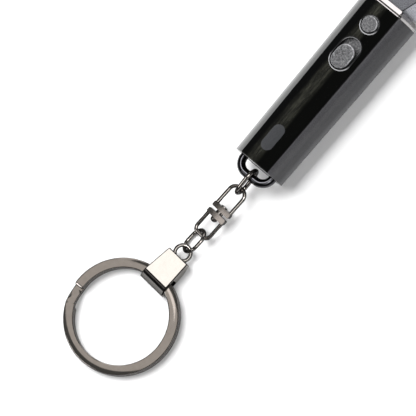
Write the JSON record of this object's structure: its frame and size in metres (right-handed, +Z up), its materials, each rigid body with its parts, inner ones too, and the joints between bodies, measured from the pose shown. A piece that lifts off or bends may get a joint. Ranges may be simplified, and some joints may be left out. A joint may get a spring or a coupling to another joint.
{
  "type": "keychain flashlight",
  "caption": "Small hexagonal pocket flashlight with a slide switch, a push button, a screw-on lamp head and a swivel chain ending in a flat split key ring.",
  "frame": {"origin": "centre of the barrel's bottom facet, the face it rests on", "axes": "+X along the barrel toward the lamp, +Y to the left, +Z up out of the facet that carries the buttons"},
  "size_m": [0.1342, 0.03, 0.0128],
  "materials": {
    "gloss_black": "piano black, high gloss",
    "black_nickel": "polished black nickel",
    "bright_chrome": "bright chrome plate",
    "satin_silver": "satin silver-grey",
    "satin_grey": "fine textured satin grey",
    "polished_nickel": "polished warm gunmetal nickel",
    "brass": "turned",
    "white_plastic": "moulded",
    "nickel_contact": "nickel-plated strip",
    "spring_steel": "drawn wire",
    "cell_steel": "stamped stainless can",
    "green_board": "solder mask",
    "switch_steel": "stamped can",
    "black_plastic": "moulded",
    "black_rubber": "moulded",
    "board_aluminium": "machined",
    "lamp_phosphor": "yellow phosphor under clear dome",
    "reflector_mirror": "vacuum metallised",
    "clear_lens": "clear polished"
  },
  "bodies": {
    "body": {"barrel": "gloss_black", "tail_plug": "gloss_black", "bail": "black_nickel", "front_bush": "brass", "trim_ring": "bright_chrome", "sled": "white_plastic", "cell_1": "cell_steel", "cell_2": "cell_steel", "cell_3": "cell_steel", "cell_4": "cell_steel", "tail_contact": "nickel_contact", "tail_spring": "spring_steel", "front_contact": "nickel_contact", "switch_board": "green_board", "slide_switch": "switch_steel", "push_switch": "switch_steel", "lamp_stud": "brass", "lamp_spring": "spring_steel"},
    "slide_control": {"slide_button": "satin_grey", "switch_lever": "black_plastic"},
    "push_control": {"push_button": "satin_grey", "switch_plunger": "black_plastic"},
    "seal": {"head_seal": "black_rubber"},
    "head": {"head_shell": "satin_silver", "led_board": "board_aluminium", "led": "lamp_phosphor", "reflector": "reflector_mirror", "lens_gasket": "black_rubber", "lens": "clear_lens", "bezel": "bright_chrome"},
    "jump_ring": {"jump_ring": "polished_nickel"},
    "swivel_top": {"swivel_upper": "polished_nickel", "swivel_rivet": "polished_nickel"},
    "swivel_bottom": {"swivel_lower": "polished_nickel"},
    "oval_link": {"oval_link": "polished_nickel"},
    "clip": {"ring_clip": "polished_nickel", "clip_eye": "polished_nickel"},
    "key_ring": {"key_ring": "polished_nickel"}
  },
  "joints": [
    {"name": "slide_button_travel", "type": "slide", "parent": "body", "child": "slide_control", "axis": [1, 0, 0], "range_m": [0, 0.002]},
    {"name": "push_button_travel", "type": "slide", "parent": "body", "child": "push_control", "axis": [0, 0, -1], "range_m": [0, 0.00035], "stiffness_N_per_m": 60},
    {"name": "head_advance", "type": "slide", "parent": "body", "child": "seal", "axis": [1, 0, 0], "range_m": [0, 0.00241]},
    {"name": "head_turn", "type": "hinge", "parent": "seal", "child": "head", "pos_m": [0.0269, 0, 0.006], "axis": [1, 0, 0], "range_deg": [0, 1080]},
    {"name": "jump_ring_swing", "type": "hinge", "parent": "body", "child": "jump_ring", "pos_m": [-0.02875, 0, 0.006], "axis": [0, 1, 0], "range_deg": [-75, 60]},
    {"name": "swivel_swing", "type": "hinge", "parent": "jump_ring", "child": "swivel_top", "pos_m": [-0.0337, 0.00043, 0.00409], "axis": [-0.357, 0.0312, 0.9336], "range_deg": [-60, 60]},
    {"name": "swivel_spin", "type": "hinge", "parent": "swivel_top", "child": "swivel_bottom", "pos_m": [-0.04161, 0.001, 0.00329], "axis": [-0.9876, 0.0725, -0.1392], "continuous": true},
    {"name": "oval_link_swing", "type": "hinge", "parent": "swivel_bottom", "child": "oval_link", "pos_m": [-0.04773, 0.00145, 0.00243], "axis": [0.0732, 0.9973, 0], "range_deg": [-45, 38]},
    {"name": "clip_swing", "type": "hinge", "parent": "oval_link", "child": "clip", "pos_m": [-0.0533, 0.00179, 0.00223], "axis": [-0.0687, -0.7403, 0.6687], "range_deg": [-35, 35]},
    {"name": "key_ring_turn", "type": "hinge", "parent": "clip", "child": "key_ring", "pos_m": [-0.07629, 0.0034, 0.00171], "axis": [-0.0253, 0, 0.9997], "continuous": true}
  ],
  "couplings": [
    {"joint": "head_advance", "follows": "head_turn", "m_per_rad": 0.00012732}
  ]
}
